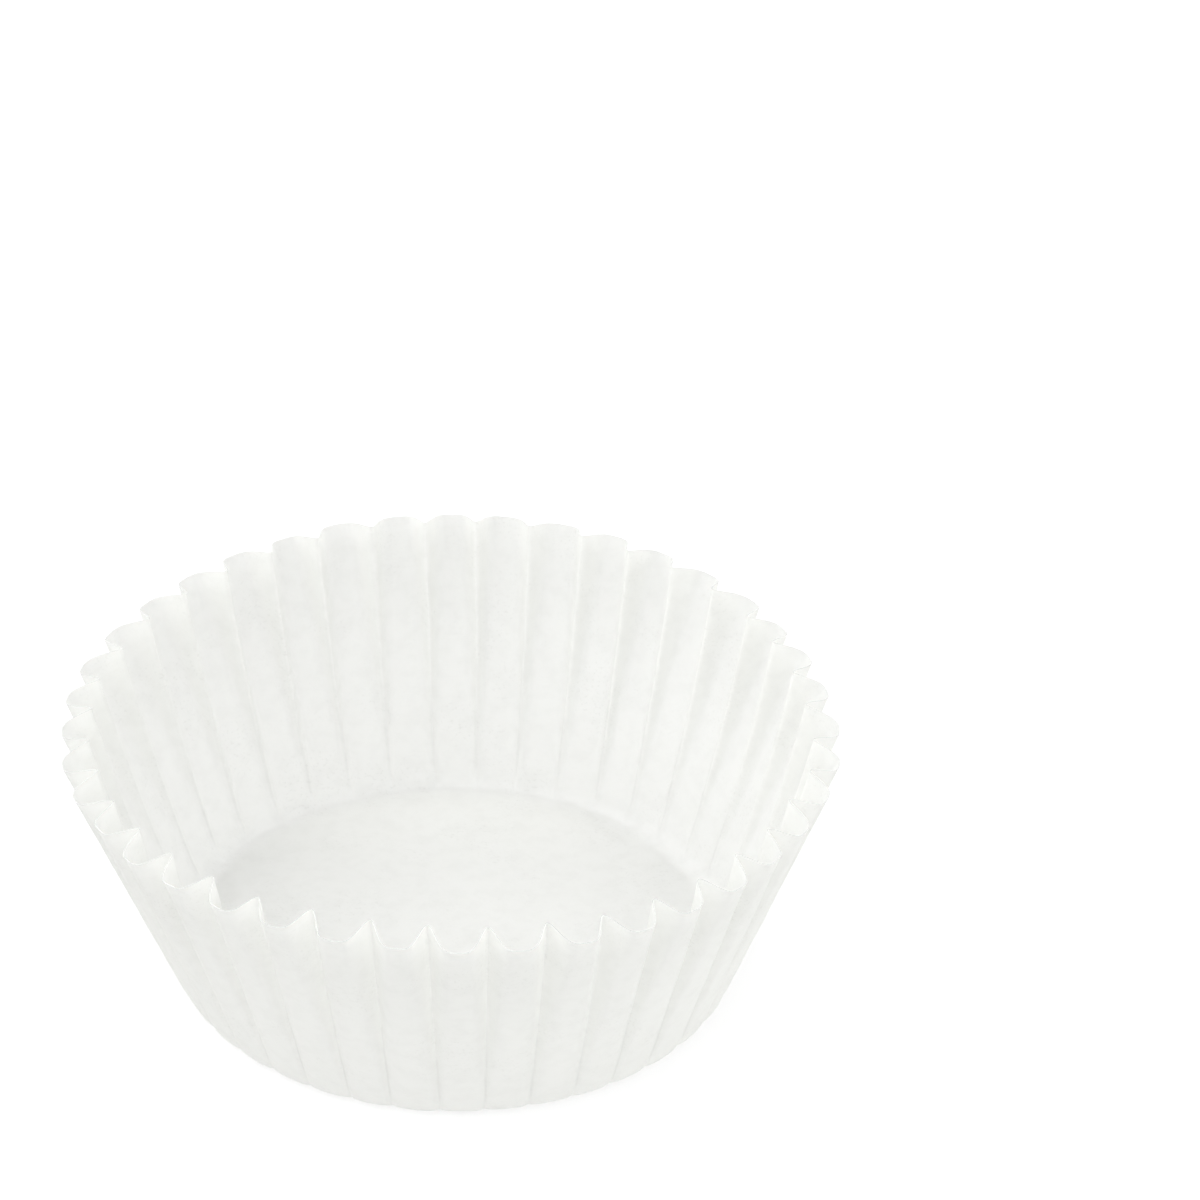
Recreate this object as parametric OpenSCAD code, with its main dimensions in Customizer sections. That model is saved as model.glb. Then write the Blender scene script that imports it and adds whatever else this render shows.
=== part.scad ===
// Paper baking case: one round sheet pressed into a flat base and a flared, fluted wall.
// Origin at the middle of the base's underside, +Z up through the open top.

/* [Base] */
// Diameter of the base, where the line of the flute crowns meets the floor
base_d = 50; // [30:0.5:90]
// Radius of the bend from the base into the wall, at the middle of the paper
corner_r = 1.5; // [0.5:0.1:3]

/* [Wall] */
// Length of the wall along its slope, from the base to the cut edge
wall_len = 25.2; // [15:0.1:50]
// How far the rim stands out past the base, on each side
flare = 9; // [2:0.5:14]

/* [Flutes] */
// Number of flutes round the wall
flute_count = 40; // [24:1:60]
// Depth of a flute at the rim, from crown to crease
flute_depth = 2.45; // [1:0.05:4]
// Depth of a flute at its foot, where the wall leaves the base
foot_depth = 0.2; // [0.1:0.05:1]
// How late a flute gets deep on its way up the wall, where 1 is evenly all the way
late_depth = 2; // [1:0.1:3]
// How much broader crowns are than creases at the rim, where 1 makes an even wave
rim_spread = 1.85; // [1:0.05:2.5]
// How much broader crowns are than creases at the foot, where creases are narrowest
foot_spread = 4; // [1:0.1:6]

/* [Paper] */
// Thickness of the paper
paper_t = 0.06; // [0.04:0.01:0.2]

/* [Hidden] */

base_r = base_d / 2;
flute_angle = 360 / flute_count;

// Facets from a crown to the next crease, round the bend and up the wall
half_steps = 6;
bend_steps = 2;
wall_steps = 3;
last_ring = bend_steps + wall_steps;

// Places across a flute, from its crown at 0 to the creases at -1 and 1
section = [for (i = [1 - half_steps : half_steps]) i / half_steps];
columns = flute_count * len(section);

// How far in from the line of the crowns the paper stands, at a place across a flute and a share
// of the way up the wall: a wave that is low over a broad crown and rises to a sharp crease
function inward(across, up) =
    let (
        depth = foot_depth + (flute_depth - foot_depth) * pow(up, late_depth),
        spread = rim_spread + (foot_spread - rim_spread) * sqrt(1 - up)
    )
    depth * (1 - cos(180 * pow(abs(across), spread))) / 2;

// Radius and height up the wall: the bend, then a slope that takes wall_len of paper. Creases
// start further in and lean less than crowns, so their cut edge ends a little higher.
function meridian(across, ring) =
    let (
        foot = inward(across, 0),
        slope = acos((flare + foot - inward(across, 1)) / wall_len),
        bend_len = corner_r * tan(slope / 2),
        turn = slope * min(ring, bend_steps) / bend_steps,
        up = 1 - (1 - bend_len / wall_len) * (last_ring - ring) / wall_steps
    )
    ring <= bend_steps
        ? [base_r - foot - bend_len + corner_r * sin(turn), corner_r * (1 - cos(turn))]
        : [base_r + flare * up - inward(across, up), wall_len * up * sin(slope)];

// The middle of the paper, as rings of points from the edge of the flat base up to the rim
mid = [
    for (ring = [0 : last_ring]) [
        for (flute = [0 : flute_count - 1], across = section)
            let (
                a = flute_angle * (flute + across / 2),
                m = meridian(across, ring)
            )
            [m.x * cos(a), m.x * sin(a), m.y + paper_t / 2]
    ]
];

// Outward direction, square to the paper
function outward(ring, i) =
    ring == 0
        ? [0, 0, -1]
        : let (
            along = mid[ring][(i + 1) % columns] - mid[ring][(i + columns - 1) % columns],
            up = mid[min(ring + 1, last_ring)][i] - mid[ring - 1][i],
            n = cross(along, up)
        )
        n / norm(n);

// One face of the paper: side is 1 for the outside and -1 for the inside
function skin(side) = [
    for (ring = [0 : last_ring], i = [0 : columns - 1])
        mid[ring][i] + side * paper_t / 2 * outward(ring, i)
];

// Two triangles over four corners, given clockwise as seen from outside the solid
function quad(a, b, c, d) = [[a, b, c], [a, c, d]];

module liner() {
    inner = (last_ring + 1) * columns;
    under = 2 * inner;
    over = under + 1;
    walls = [
        for (ring = [0 : last_ring - 1], i = [0 : columns - 1])
            let (
                j = (i + 1) % columns,
                low = ring * columns,
                high = low + columns
            )
            each concat(
                quad(low + i, high + i, high + j, low + j),
                quad(inner + low + i, inner + low + j, inner + high + j, inner + high + i)
            )
    ];
    edges = [
        for (i = [0 : columns - 1])
            let (
                j = (i + 1) % columns,
                top = last_ring * columns
            )
            each concat(
                quad(top + i, inner + top + i, inner + top + j, top + j),
                [[under, i, j], [over, inner + j, inner + i]]
            )
    ];
    color("whitesmoke")
        polyhedron(
            points = concat(skin(1), skin(-1), [[0, 0, 0], [0, 0, paper_t]]),
            faces = concat(walls, edges)
        );
}

liner();
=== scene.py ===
"""A fluted paper baking case: one fine mesh with a greaseproof finish, lit and seen as in the photo."""

import math

import bpy
import numpy as np
from mathutils import Matrix, Vector, noise


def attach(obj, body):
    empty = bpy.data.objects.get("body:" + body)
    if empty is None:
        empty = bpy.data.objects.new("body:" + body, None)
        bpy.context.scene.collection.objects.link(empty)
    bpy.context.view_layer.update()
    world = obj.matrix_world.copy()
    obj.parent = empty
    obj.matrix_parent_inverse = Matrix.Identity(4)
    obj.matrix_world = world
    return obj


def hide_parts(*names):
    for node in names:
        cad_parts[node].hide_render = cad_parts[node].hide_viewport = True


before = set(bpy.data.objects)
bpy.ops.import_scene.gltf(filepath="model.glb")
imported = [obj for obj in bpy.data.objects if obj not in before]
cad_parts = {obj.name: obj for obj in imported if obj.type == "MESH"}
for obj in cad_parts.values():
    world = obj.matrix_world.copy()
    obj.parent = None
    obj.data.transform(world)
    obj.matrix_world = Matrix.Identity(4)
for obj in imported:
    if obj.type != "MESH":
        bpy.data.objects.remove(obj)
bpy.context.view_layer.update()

MM = 0.001

# The case in millimetres. It follows the part's own source, but its finer facets let the flutes
# start thinner at the foot and get deep a little sooner.
BASE_R = 25.0
CORNER_R = 1.5
WALL_LEN = 25.2
FLARE = 9.0
FLUTES = 40
FLUTE_DEPTH = 2.45
FOOT_DEPTH = 0.15
LATE_DEPTH = 1.6
RIM_SPREAD = 1.85
FOOT_SPREAD = 6.0
LATE_SPREAD = 1.5
PAPER_T = 0.06
FLAT_EDGE = BASE_R - CORNER_R
RIM_R = BASE_R + FLARE
FLUTE_ANGLE = 2 * math.pi / FLUTES

# Facets from a crown to the next crease, over the floor, round the bend and up the wall. Along a
# flute they crowd towards the creases by this power.
HALF_STEPS = 14
FLOOR_STEPS = 10
BEND_STEPS = 5
WALL_STEPS = 26
CROWD_TO_CREASE = 0.6

# The cup stands turned by this against the view that the photo was taken from
TURN = math.radians(-1.55)

# Soft paper: how the rim is moved and waves, in millimetres, and how far round the far side drifts
RIM_SHIFT_X = -0.6
RIM_TILT_Y = 0.15
RIM_SADDLE = -0.5
RIM_TWIST = 0.2
FAR_DRIFT = math.radians(-1.0)

# How uneven the flutes are: places and skew in flutes, crowns and cut edge in millimetres, and depth
# as a share
CREASE_JITTER = 0.05
FOOT_JITTER = 0.04
CROWN_SKEW = 0.05
CROWN_UNEVEN = 0.18
DEPTH_UNEVEN = 0.10
EDGE_UNEVEN = 0.07
SEED = 40

# Places round the wall count flutes: crowns lie at whole numbers, and creases this much further on
CREASE_AT = 0.5

# Dents and cockles as noise over the flat sheet: wavelength in millimetres, and a place in the noise
BROAD_DENTS = (3.2, 1.5)
FINE_DENTS = (1.3, 7.5)
COCKLES = (11.0, 4.2)

# How far they move the wall, and how far the floor stands off the table, in millimetres
BROAD_MOVE = 0.045
FINE_MOVE = 0.018
FLOOR_LIFT = 0.10
FLOOR_COCKLE = 0.16
FLOOR_DENT = 0.03

# The flat sheet's map: its name, and the millimetres that it spans
SHEET_MAP = "sheet"
SHEET_SPAN = 110.0

# Mottle as noise over the sheet: features a millimetre, detail, and the values between which it comes in
PATCHES = (0.16, 2.0, 0.42, 0.68)
CLOUDS = (0.7, 4.0, 0.40, 0.66)
CLOUD_ROUGHNESS = 0.62
FLECKS = (3.4, 2.0, 0.54, 0.70)
STREAKS = (1.0, 2.0, 0.58, 0.76)

# Streaks run in three directions, and their noise is squeezed across them and drawn out along them
FIBRE_TURNS = (0.3, 1.4, 2.5)
FIBRES_ACROSS = 5.5
FIBRES_ALONG = 0.55

# How much each darkens the paper, where flecks are faint outside the patches and strong in them, and the
# crease share is painted shade
FLECK_SHARES = (0.05, 0.5)
CLOUD_SHARE = 0.22
STREAK_SHARE = 0.08
CREASE_SHADE_SHARE = 0.3

# Painted crease shade, darker lines along the creases: how far from a crown they start, in flutes; the radii
# on the sheet between which they come in; and the radii over which they fade from one strength to the other
LINE_FROM = 0.455
LINES_COME_IN = (24.5, 26.5)
LINES_FADE = (27, 37)
LINE_STRENGTHS = (0.4, 0.13)

# Fine relief of fibres and flecks
RELIEF_STRENGTH = 0.2
RELIEF_DEPTH = 0.03 * MM
FIBRE_RELIEF = 0.6
FLECK_RELIEF = -0.4

# Colours as linear light, and the share of the light at each face of the paper that goes through
PAPER_COLOUR = (0.965, 0.967, 0.958, 1)
PAPER_SHADE = (0.70, 0.703, 0.69, 1)
THROUGH_COLOUR = (0.938, 0.940, 0.926, 1)
# Painted crease shade: the colour of the light that comes through along the creases
CREASE_SHADE_COLOUR = (0.82, 0.822, 0.81, 1)
# Painted shade: the cut edge is coloured darker so that it does not catch the overhead light
EDGE_SHADE_COLOUR = (0.55, 0.552, 0.543, 1)
PAPER_ROUGHNESS = (0.5, 0.62)
EDGE_ROUGHNESS = 0.8
LET_THROUGH = 0.65

# The studio's floor: its own glow and the light on it make it white in the picture. Under the cup a round of
# it sees only the light that comes through the paper; it is painted grey, and painted lighter towards the
# back, as painted shade.
FLOOR_HALF = 1.5
FLOOR_DROP = 0.05 * MM
FLOOR_COLOUR = (0.38, 0.38, 0.38, 1)
FLOOR_GLOW = 0.56
FLOOR_ROUGHNESS = 0.9
SHADED_DROP = 0.02 * MM
SHADED_CORNERS = 96
# Painted shade: the round's colour, darkest at the front and painted lighter towards the back
PAINTED_SHADE_COLOURS = (0.43, 0.68)
SHADED_FADE = (10 * MM, 24 * MM)

# The sky: places from straight down at 0 to overhead at 1, each with the strength of its light
SKY = ((0.45, 0.48), (0.55, 0.885), (1, 1.80))

# Softboxes: azimuth from +X towards +Y and elevation in degrees, and power; how far off and how large
SOFTBOXES = {"back_left": (150, 45, 8.0), "front_left": (208, 50, 11.0)}
SOFTBOX_DISTANCE = 1.5
SOFTBOX_SIZE = 2.4

# The photo's view, fitted to the cup's rim, creases and base
VIEW_DISTANCE = 0.5
VIEW_ELEVATION = math.radians(36.22)
AIM_YAW = math.radians(-1.456)
AIM_PITCH = math.radians(3.549)
AIM_ROLL = math.radians(-0.551)
LENS_PX = 5552.85
PHOTO_PX = 1200
SENSOR_WIDTH = 36


def across_a_flute():
    """Places over one flute as shares of its half width: -1 and 1 in its creases, 0 on its crown."""
    way = np.linspace(0, 1, HALF_STEPS + 1) ** CROWD_TO_CREASE
    return np.concatenate([-way[-2:0:-1], way])


def fallen_back(across, up):
    """How far the paper has fallen back: 0 on a crown, 1 in a crease. Low creases are the narrower ones."""
    spread = RIM_SPREAD + (FOOT_SPREAD - RIM_SPREAD) * (1 - up) ** LATE_SPREAD
    return (1 - np.cos(math.pi * np.abs(across) ** spread)) / 2


def round_the_wall(values, where, start):
    """Values given once a flute, from place start on, read evenly between them all the way round."""
    spots = np.arange(-1, FLUTES + 2) + start
    return np.interp(where, spots, values[np.arange(-1, FLUTES + 2) % FLUTES])


def sheet_noise(flat, wavelength, offset):
    """Smooth noise from -1 to 1 at places on the flat sheet."""
    return np.array([noise.noise(Vector((x / wavelength, y / wavelength, offset))) for x, y in flat])


def middle_of_the_paper():
    """Rings of points from the middle of the floor to the cut edge, and their places on the flat sheet."""
    rng = np.random.default_rng(SEED)
    section = across_a_flute()
    count = len(section)
    flute = np.repeat(np.arange(FLUTES), count)
    x = np.tile(section, FLUTES)
    where = flute + x / 2

    def uneven(size, start=0.0):
        return round_the_wall(rng.uniform(-size, size, FLUTES), where, start)

    rim_jitter = uneven(CREASE_JITTER, CREASE_AT)
    foot_jitter = uneven(FOOT_JITTER, CREASE_AT)
    skew = uneven(CROWN_SKEW) * (1 - fallen_back(x, 1))
    crown_out = uneven(CROWN_UNEVEN)
    depth_more = uneven(DEPTH_UNEVEN, CREASE_AT)
    edge_more = uneven(EDGE_UNEVEN)

    length = WALL_LEN + edge_more

    # How far round the flat sheet each point lies: by the length of paper along the section
    ends = np.concatenate([section, [2 + section[0]]])
    rises = np.diff(fallen_back(1 - abs(1 - abs(ends)), 1)) * FLUTE_DEPTH
    steps = np.hypot(np.diff(ends) * math.pi * RIM_R / FLUTES, rises)
    along_section = np.concatenate([[0], np.cumsum(steps)[:-1]]) / steps.sum()
    flat_angle = FLUTE_ANGLE * (flute + np.tile(along_section, FLUTES) - 0.5)

    rings, flats = [], []

    def add_ring(r, z, up, flat_r):
        """up is 0 on the floor and 1 at the rim."""
        angle = FLUTE_ANGLE * (where + (rim_jitter * up + foot_jitter * (1 - up)) + skew * up)
        seen = angle - TURN
        angle = angle + FAR_DRIFT * np.maximum(0, np.sin(seen)) ** 2
        wave = RIM_SADDLE * np.cos(2 * seen) + RIM_TWIST * np.sin(2 * seen) + RIM_TILT_Y * np.sin(seen)
        rings.append(np.stack([
            r * np.cos(angle) + RIM_SHIFT_X * up,
            r * np.sin(angle),
            z + wave * up + PAPER_T / 2,
        ], -1))
        flats.append(flat_r * np.stack([np.cos(flat_angle), np.sin(flat_angle)], -1))

    def inward(up):
        """How far in from the line of the crowns each point stands at a share of the way up the wall."""
        rim_depth = FLUTE_DEPTH * (1 + depth_more)
        return (FOOT_DEPTH + (rim_depth - FOOT_DEPTH) * up ** LATE_DEPTH) * fallen_back(x, up)

    foot_r = BASE_R - inward(0)
    top_r = RIM_R - inward(1) + crown_out
    slope = np.arccos((top_r - foot_r) / length)
    bend_len = CORNER_R * np.tan(slope / 2)
    edge_r = foot_r - bend_len
    for u in np.linspace(0, 1, FLOOR_STEPS + 1)[1:-1]:
        add_ring(edge_r * u, np.zeros_like(x), 0 * x, FLAT_EDGE * u)
    for u in np.linspace(0, 1, BEND_STEPS + 1):
        turn = slope * u
        r = edge_r + CORNER_R * np.sin(turn)
        add_ring(r, CORNER_R * (1 - np.cos(turn)), 0 * x, FLAT_EDGE + CORNER_R * u)
    for u in np.linspace(0, 1, WALL_STEPS + 1)[1:]:
        up = 1 - (1 - bend_len / length) * (1 - u)
        r = BASE_R + (FLARE + crown_out) * up - inward(up)
        add_ring(r, length * up * np.sin(slope), up, FLAT_EDGE + CORNER_R + WALL_LEN * u)
    return np.array(rings), np.array(flats)


def outward(rings):
    """Directions square to the paper, pointing out of the cup and down under the floor."""
    along = np.roll(rings, -1, 1) - np.roll(rings, 1, 1)
    up = np.gradient(rings, axis=0)
    n = np.cross(along, up)
    return n / np.linalg.norm(n, axis=-1, keepdims=True)


def crumpled(rings, flats):
    """The paper with the small dents that handling leaves, and a floor that cockles a little."""
    flat = flats.reshape(-1, 2)
    shape = rings.shape[:2]
    broad = sheet_noise(flat, *BROAD_DENTS).reshape(shape)
    fine = sheet_noise(flat, *FINE_DENTS).reshape(shape)
    cockle = sheet_noise(flat, *COCKLES).reshape(shape)
    on_floor = np.arange(shape[0])[:, None] < FLOOR_STEPS
    moved = rings + outward(rings) * (BROAD_MOVE * broad + FINE_MOVE * fine)[..., None]
    floor = rings.copy()
    floor[..., 2] += np.maximum(0, FLOOR_LIFT + FLOOR_COCKLE * cockle + FLOOR_DENT * broad)
    return np.where(on_floor[..., None], floor, moved)


def strip(low, high, count):
    """Corners of the quads between two rings of points that start at low and high."""
    i = np.arange(count)
    j = (i + 1) % count
    return np.stack([low + i, low + j, high + j, high + i], -1)


def paper_mesh():
    """The sheet as a closed mesh: outer and inner face, the cut edge between them and a fan at the middle."""
    rings, flats = middle_of_the_paper()
    rings = crumpled(rings, flats)
    n = outward(rings)
    ring_count, count = rings.shape[:2]
    outer = (rings + n * PAPER_T / 2).reshape(-1, 3)
    inner = (rings - n * PAPER_T / 2).reshape(-1, 3)
    centre = rings[0].mean(0)
    half = np.array([0, 0, PAPER_T / 2])
    points = np.concatenate([outer, inner, [centre - half, centre + half]])
    flat = np.concatenate([flats.reshape(-1, 2)] * 2 + [np.zeros((2, 2))])
    lift = -points[:, 2].min()
    points[:, 2] += max(0, lift)

    other = ring_count * count
    quads = [strip(r * count, (r + 1) * count, count) for r in range(ring_count - 1)]
    quads += [
        strip(other + r * count, other + (r + 1) * count, count)[:, ::-1]
        for r in range(ring_count - 1)
    ]
    top = (ring_count - 1) * count
    quads.append(strip(top, other + top, count))
    i = np.arange(count)
    j = (i + 1) % count
    fans = np.concatenate([
        np.stack([np.full(count, 2 * other), j, i], -1),
        np.stack([np.full(count, 2 * other + 1), other + i, other + j], -1),
    ])
    mesh = bpy.data.meshes.new("liner_paper")
    mesh.from_pydata((points * MM).tolist(), [], np.concatenate(quads).tolist() + fans.tolist())
    mesh.shade_smooth()
    quads_before_edge = 2 * (ring_count - 1) * count
    mesh.materials.append(paper_material())
    mesh.materials.append(edge_shade_material())
    on_edge = np.zeros(len(mesh.polygons), int)
    on_edge[quads_before_edge:quads_before_edge + count] = 1
    mesh.polygons.foreach_set("material_index", on_edge)

    corners = np.empty(len(mesh.loops), int)
    mesh.loops.foreach_get("vertex_index", corners)
    sheet_map = mesh.uv_layers.new(name=SHEET_MAP)
    sheet_map.data.foreach_set("uv", (0.5 + flat[corners] / SHEET_SPAN).ravel())

    cut = np.zeros(len(points), bool)
    cut[top:top + count] = cut[other + top:other + top + count] = True
    pairs = np.empty(2 * len(mesh.edges), int)
    mesh.edges.foreach_get("vertices", pairs)
    pairs = pairs.reshape(-1, 2)
    same_side = (pairs[:, 0] < other) == (pairs[:, 1] < other)
    sharp = mesh.attributes.new("sharp_edge", "BOOLEAN", "EDGE")
    sharp.data.foreach_set("value", cut[pairs].all(1) & same_side)
    mesh.validate()
    return mesh


class Nodes:
    """A material's nodes, made one by one and joined by their sockets' names."""

    def __init__(self, name):
        self.material = bpy.data.materials.new(name)
        self.material.use_nodes = True
        self.tree = self.material.node_tree
        self.shader = self.tree.nodes["Principled BSDF"]

    def add(self, kind, inputs=None, **settings):
        made = self.tree.nodes.new("ShaderNode" + kind)
        for key, value in settings.items():
            setattr(made, key, value)
        for key, value in (inputs or {}).items():
            self.put(made, key, value)
        return made

    def put(self, made, key, value):
        if isinstance(value, bpy.types.NodeSocket):
            self.tree.links.new(value, made.inputs[key])
        else:
            made.inputs[key].default_value = value

    def noise(self, where, scale, detail, roughness=0.5):
        inputs = {"Vector": where, "Scale": scale, "Detail": detail, "Roughness": roughness}
        return self.add("TexNoise", inputs).outputs["Fac"]

    def fit(self, value, low, high, to_low=0.0, to_high=1.0):
        ranges = {"Value": value, "From Min": low, "From Max": high, "To Min": to_low, "To Max": to_high}
        return self.add("MapRange", ranges, interpolation_type="SMOOTHSTEP").outputs["Result"]

    def math(self, operation, a, b):
        return self.add("Math", {0: a, 1: b}, operation=operation).outputs[0]

    def vector(self, operation, a, b):
        return self.add("VectorMath", {0: a, 1: b}, operation=operation).outputs["Vector"]

    def mix(self, factor, none, full):
        mixed = self.add("Mix", {"Factor": factor}, data_type="RGBA", clamp_factor=True)
        self.put(mixed, 6, none)
        self.put(mixed, 7, full)
        return mixed.outputs[2]

    def stretched(self, where, turn, across, along):
        """Coordinates turned by an angle and squeezed, so that noise becomes streaks like fibres."""
        turned = {"Vector": where, "Rotation": (0, 0, turn), "Scale": (along, across, 1)}
        return self.add("Mapping", turned).outputs["Vector"]


def painted_crease_shade(m, mm):
    """Up to 1 along the creases: painted shade, darker lines that also let less light through, strongest at
    the foot.
    """
    centred = m.vector("SUBTRACT", mm, (SHEET_SPAN / 2, SHEET_SPAN / 2, 0))
    axes = m.add("SeparateXYZ", {0: centred})
    turn = m.math("ARCTAN2", axes.outputs["Y"], axes.outputs["X"])
    off_crown = m.math("PINGPONG", m.math("MULTIPLY", turn, 1 / FLUTE_ANGLE), CREASE_AT)
    out = m.add("VectorMath", {0: centred}, operation="LENGTH").outputs["Value"]
    strength = m.fit(out, *LINES_FADE, *LINE_STRENGTHS)
    on_wall = m.math("MULTIPLY", m.fit(out, *LINES_COME_IN), strength)
    return m.math("MULTIPLY", m.fit(off_crown, LINE_FROM, CREASE_AT), on_wall)


def paper_material():
    """Greaseproof paper: cloudy formation, fine flecks and fibres, painted shade along the creases, and light
    coming through from behind.
    """
    m = Nodes("greaseproof_paper")
    on_sheet = m.add("UVMap", uv_map=SHEET_MAP).outputs["UV"]
    mm = m.vector("MULTIPLY", on_sheet, (SHEET_SPAN,) * 3)
    patches = m.fit(m.noise(mm, *PATCHES[:2]), *PATCHES[2:])
    clouds = m.fit(m.noise(mm, *CLOUDS[:2], CLOUD_ROUGHNESS), *CLOUDS[2:])
    flecks = m.fit(m.noise(mm, *FLECKS[:2]), *FLECKS[2:])
    runs = [m.stretched(mm, turn, FIBRES_ACROSS, FIBRES_ALONG) for turn in FIBRE_TURNS]
    fibres = [m.noise(run, *STREAKS[:2]) for run in runs]
    weave = m.math("MAXIMUM", m.math("MAXIMUM", fibres[0], fibres[1]), fibres[2])
    crease_shade = painted_crease_shade(m, mm)
    mottle_and_crease_shade = m.math("MULTIPLY", flecks, m.fit(patches, 0, 1, *FLECK_SHARES))
    streaks = m.fit(weave, *STREAKS[2:])
    # Real mottle, and the painted shade along the creases
    for kind, share in ((clouds, CLOUD_SHARE), (streaks, STREAK_SHARE), (crease_shade, CREASE_SHADE_SHARE)):
        mottle_and_crease_shade = m.math("ADD", mottle_and_crease_shade, m.math("MULTIPLY", kind, share))
    fibre_relief = m.math("MULTIPLY", weave, FIBRE_RELIEF)
    height = m.math("ADD", fibre_relief, m.math("MULTIPLY", flecks, FLECK_RELIEF))
    relief = {"Strength": RELIEF_STRENGTH, "Distance": RELIEF_DEPTH, "Height": height}
    normal = m.add("Bump", relief).outputs["Normal"]
    m.put(m.shader, "Base Color", m.mix(mottle_and_crease_shade, PAPER_COLOUR, PAPER_SHADE))
    m.put(m.shader, "Normal", normal)
    m.put(m.shader, "Roughness", m.fit(clouds, 0, 1, *PAPER_ROUGHNESS))
    let = m.mix(crease_shade, THROUGH_COLOUR, CREASE_SHADE_COLOUR)
    through = m.add("BsdfTranslucent", {"Color": let, "Normal": normal})
    both = m.add("MixShader", {0: LET_THROUGH, 1: m.shader.outputs[0], 2: through.outputs[0]})
    m.put(m.tree.nodes["Material Output"], "Surface", both.outputs[0])
    return m.material


def edge_shade_material():
    """The cut edge, painted darker so that its upward face does not catch the overhead light: painted shade.
    """
    m = Nodes("cut_edge_painted_shade")
    m.put(m.shader, "Base Color", EDGE_SHADE_COLOUR)
    m.put(m.shader, "Roughness", EDGE_ROUGHNESS)
    return m.material


def floor_material():
    m = Nodes("studio_floor")
    m.put(m.shader, "Base Color", FLOOR_COLOUR)
    m.put(m.shader, "Roughness", FLOOR_ROUGHNESS)
    m.put(m.shader, "Emission Color", (1, 1, 1, 1))
    m.put(m.shader, "Emission Strength", FLOOR_GLOW)
    return m.material


def shaded_material():
    m = Nodes("studio_floor_in_shade")
    where = m.add("TexCoord").outputs["Object"]
    back = m.add("SeparateXYZ", {0: where}).outputs["Y"]
    # Painted shade: darker at the front, lighter towards the back
    m.put(m.shader, "Base Color", m.fit(back, *SHADED_FADE, *PAINTED_SHADE_COLOURS))
    m.put(m.shader, "Roughness", FLOOR_ROUGHNESS)
    return m.material


def stage_face(name, corners, material):
    """One flat face of the studio's floor."""
    mesh = bpy.data.meshes.new(name)
    mesh.from_pydata(corners, [], [tuple(range(len(corners)))])
    mesh.materials.append(material)
    face = bpy.data.objects.new(name, mesh)
    bpy.context.collection.objects.link(face)
    return face


def studio_floor():
    """A plain pale floor, a hair under the cup. It is seen, but the light from below is left to the sky."""
    signs = ((-1, -1), (1, -1), (1, 1), (-1, 1))
    corners = [(a * FLOOR_HALF, b * FLOOR_HALF, -FLOOR_DROP) for a, b in signs]
    floor = stage_face("studio_floor", corners, floor_material())
    floor.visible_diffuse = False
    floor.visible_glossy = False
    floor.visible_transmission = False
    floor.visible_shadow = False


def shaded_floor():
    """The round of floor under the cup, which gets no other light than what comes through the paper, and is
    painted grey as shade.
    """
    radius = FLAT_EDGE * MM
    angles = [2 * math.pi * i / SHADED_CORNERS for i in range(SHADED_CORNERS)]
    corners = [(radius * math.cos(a), radius * math.sin(a), -SHADED_DROP) for a in angles]
    shaded = stage_face("studio_floor_in_shade", corners, shaded_material())


def direction(azimuth, elevation):
    """Azimuth runs from +X towards +Y, both in degrees."""
    a, e = math.radians(azimuth), math.radians(elevation)
    return Vector((math.cos(e) * math.cos(a), math.cos(e) * math.sin(a), math.sin(e)))


def softbox(name, azimuth, elevation, power):
    lamp = bpy.data.lights.new(name, "AREA")
    lamp.size = SOFTBOX_SIZE
    lamp.energy = power
    holder = bpy.data.objects.new(name, lamp)
    towards = direction(azimuth, elevation)
    holder.location = towards * SOFTBOX_DISTANCE
    holder.rotation_mode = "QUATERNION"
    holder.rotation_quaternion = towards.to_track_quat("Z", "Y")
    bpy.context.collection.objects.link(holder)


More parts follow.
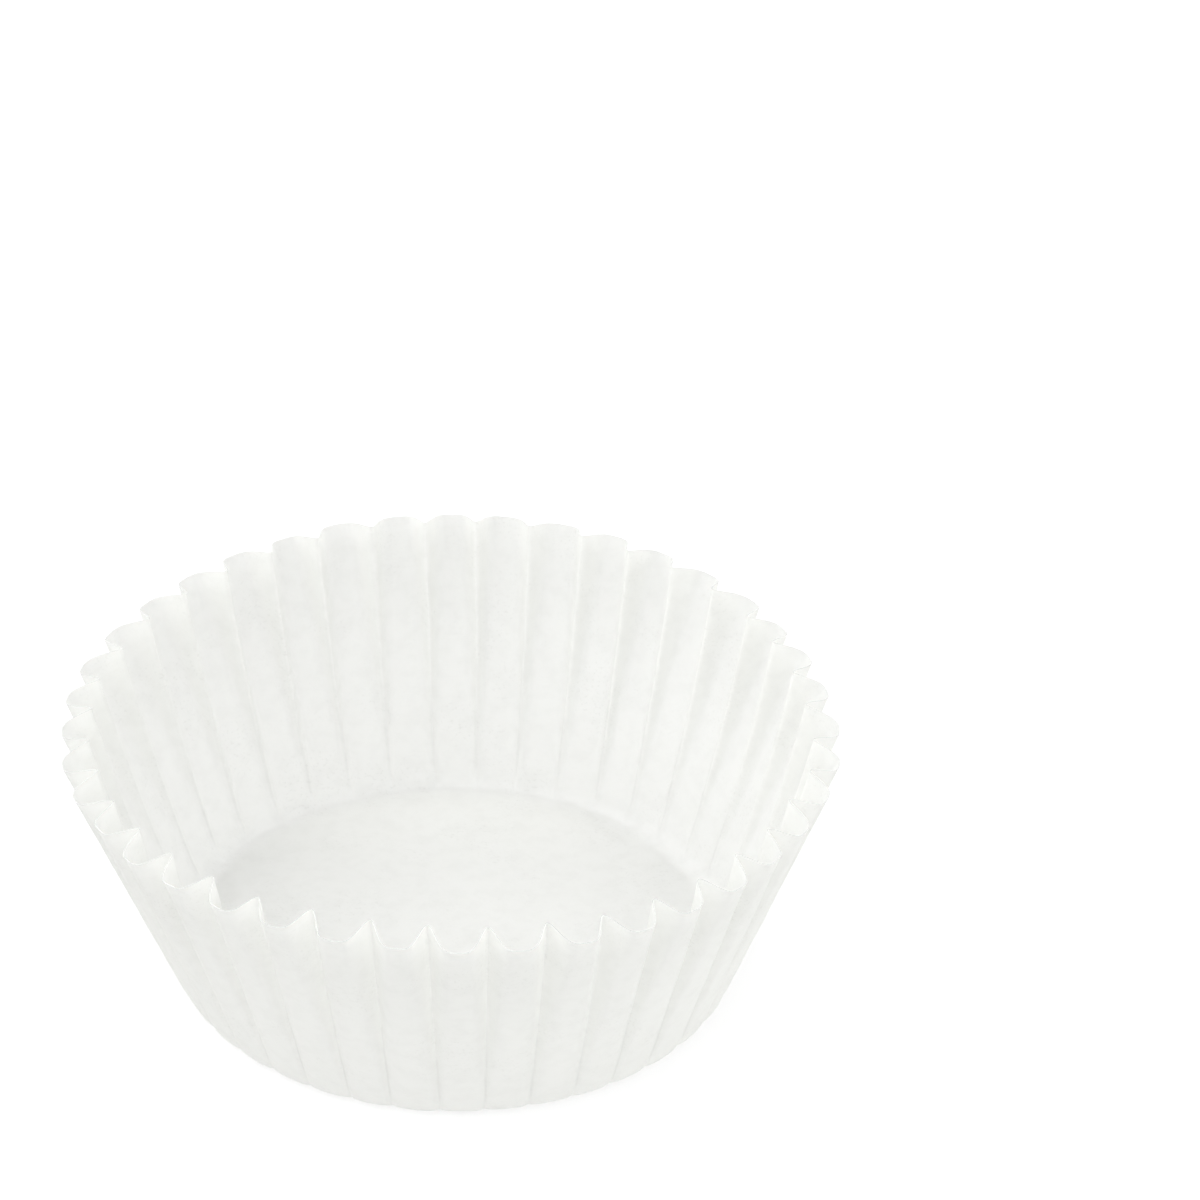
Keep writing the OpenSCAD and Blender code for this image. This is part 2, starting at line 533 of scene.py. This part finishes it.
def studio_light():
    """A sky that is brightest overhead, with less light from below, as off a table, and two softboxes."""
    world = bpy.data.worlds.new("studio")
    world.use_nodes = True
    tree = world.node_tree
    towards = tree.nodes.new("ShaderNodeSeparateXYZ")
    tree.links.new(tree.nodes.new("ShaderNodeTexCoord").outputs["Generated"], towards.inputs[0])
    height = tree.nodes.new("ShaderNodeMapRange")
    height.inputs["From Min"].default_value = -1
    tree.links.new(towards.outputs["Z"], height.inputs["Value"])
    ramp = tree.nodes.new("ShaderNodeValToRGB")
    tree.links.new(height.outputs["Result"], ramp.inputs["Fac"])
    stops = ramp.color_ramp.elements
    stops.new(SKY[1][0])
    brightest = max(strength for place, strength in SKY)
    for stop, (place, strength) in zip(stops, SKY):
        stop.position = place
        stop.color = (*[strength / brightest] * 3, 1)
    background = tree.nodes["Background"]
    tree.links.new(ramp.outputs["Color"], background.inputs["Color"])
    background.inputs["Strength"].default_value = brightest
    bpy.context.scene.world = world
    for name, (azimuth, elevation, power) in SOFTBOXES.items():
        softbox(name, azimuth, elevation, power)


def photo_camera():
    data = bpy.data.cameras.new("photo_camera")
    data.sensor_width = SENSOR_WIDTH
    data.lens = LENS_PX * SENSOR_WIDTH / PHOTO_PX
    turn = Matrix.Rotation(TURN, 4, "Z") @ Matrix.Rotation(math.pi / 2 - VIEW_ELEVATION, 4, "X")
    aim = Matrix.Rotation(AIM_YAW, 4, "Y") @ Matrix.Rotation(AIM_PITCH, 4, "X")
    roll = Matrix.Rotation(-AIM_ROLL, 4, "Z")
    camera = bpy.data.objects.new("photo_camera", data)
    camera.matrix_world = turn @ Matrix.Translation((0, 0, VIEW_DISTANCE)) @ aim @ roll
    bpy.context.collection.objects.link(camera)
    bpy.context.scene.camera = camera


def liner():
    mesh = paper_mesh()
    piece = bpy.data.objects.new("liner_paper", mesh)
    bpy.context.collection.objects.link(piece)
    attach(piece, "root")
    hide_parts("liner")


liner()
studio_floor()
shaded_floor()
studio_light()
photo_camera()
bpy.context.scene.view_settings.view_transform = "Standard"

bpy.context.view_layer.update()
